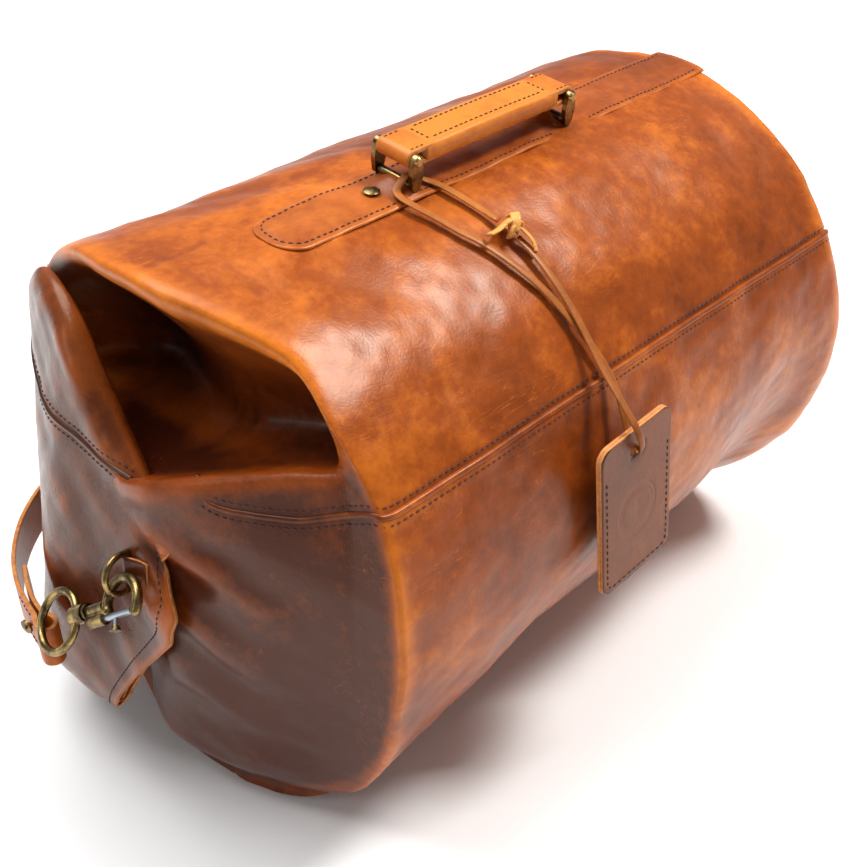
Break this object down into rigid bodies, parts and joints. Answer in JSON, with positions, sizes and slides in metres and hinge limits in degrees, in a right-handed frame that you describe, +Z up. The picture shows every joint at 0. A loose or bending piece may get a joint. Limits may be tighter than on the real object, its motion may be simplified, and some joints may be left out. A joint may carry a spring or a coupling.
{
  "type": "cylinder duffel bag",
  "caption": "Round pull-up leather duffel bag lying on its side, mouth folded over and clipped, with a bracket handle and a laced luggage tag.",
  "frame": {"origin": "on the bag's underside, in the middle of the flat it rests on, below the middle of the body and its axis", "axes": "+X along the bag's axis towards the round base, -X towards the folded mouth, -Y towards the side the luggage tag hangs on, +Z up"},
  "size_m": [0.4734, 0.3236, 0.3259],
  "materials": {
    "pull_up_leather": "waxed, semi-gloss, mottled",
    "raw_leather": "raw cut edge and flesh side, matte",
    "lace_leather": "oiled, satin",
    "base_board": "matte",
    "antique_brass": "antiqued, satin",
    "steel": "satin",
    "thread": "waxed sewing thread"
  },
  "bodies": {
    "bag": {"upper_panel": "pull_up_leather", "lower_panel": "pull_up_leather", "fold_panel": "pull_up_leather", "end_panel": "pull_up_leather", "mouth_sleeve": "pull_up_leather", "mouth_binding": "raw_leather", "base_panel": "pull_up_leather", "base_board": "base_board", "near_seam_ridge": "pull_up_leather", "far_seam_ridge": "pull_up_leather", "handle_strip": "pull_up_leather", "inner_reinforcement": "raw_leather", "rivet": "antique_brass", "rivet_burr": "antique_brass", "closing_strap": "pull_up_leather", "strap_stud": "antique_brass", "swivel_eye": "antique_brass", "ring_tab": "pull_up_leather", "lace": "lace_leather", "lace_knot": "lace_leather"},
    "left_bracket": {"left_bracket": "antique_brass", "left_pin": "antique_brass"},
    "right_bracket": {"right_bracket": "antique_brass", "right_pin": "antique_brass"},
    "handle": {"handle_core": "raw_leather", "handle_cover": "pull_up_leather", "left_end_wrap": "pull_up_leather", "right_end_wrap": "pull_up_leather"},
    "hook": {"hook_body": "antique_brass", "bolt_spring": "steel"},
    "bolt": {"gate_bolt": "steel", "thumb_knob": "antique_brass"},
    "ring": {"d_ring": "antique_brass"},
    "tag": {"tag_front": "pull_up_leather", "tag_back": "raw_leather"}
  },
  "joints": [
    {"name": "left_bracket_tilt", "type": "hinge", "parent": "bag", "child": "left_bracket", "pos_m": [-0.06, -0.01639, 0.30594], "axis": [0, 0.9945, 0.1045], "range_deg": [-35, 35]},
    {"name": "handle_tilt", "type": "hinge", "parent": "left_bracket", "child": "handle", "pos_m": [-0.06, -0.01782, 0.31957], "axis": [0, 0.9945, 0.1045], "range_deg": [-35, 35]},
    {"name": "right_bracket_tilt", "type": "hinge", "parent": "bag", "child": "right_bracket", "pos_m": [0.06, -0.01639, 0.30594], "axis": [0, 0.9945, 0.1045], "range_deg": [-35, 35]},
    {"name": "hook_swivel", "type": "hinge", "parent": "bag", "child": "hook", "pos_m": [-0.26, 0.01, 0.129], "axis": [0.2842, -0.7725, 0.5678], "range_deg": [-2, 8]},
    {"name": "bolt_slide", "type": "slide", "parent": "hook", "child": "bolt", "axis": [-0.2842, 0.7725, -0.5678], "range_m": [0, 0.0045], "stiffness_N_per_m": 150, "springref_m": -0.004, "deforming": ["bolt_spring"]},
    {"name": "ring_swing", "type": "hinge", "parent": "bag", "child": "ring", "pos_m": [-0.2386, -0.0058, 0.1538], "axis": [0.2118, 0.1794, 0.9607], "range_deg": [-2, 8]},
    {"name": "tag_swing", "type": "hinge", "parent": "bag", "child": "tag", "pos_m": [-0.0388, -0.1586, 0.1995], "axis": [-0.9986, 0, -0.0523], "range_deg": [0, 25]}
  ],
  "couplings": [
    {"joint": "handle_tilt", "follows": "left_bracket_tilt", "ratio": -1},
    {"joint": "right_bracket_tilt", "follows": "left_bracket_tilt", "ratio": 1}
  ]
}
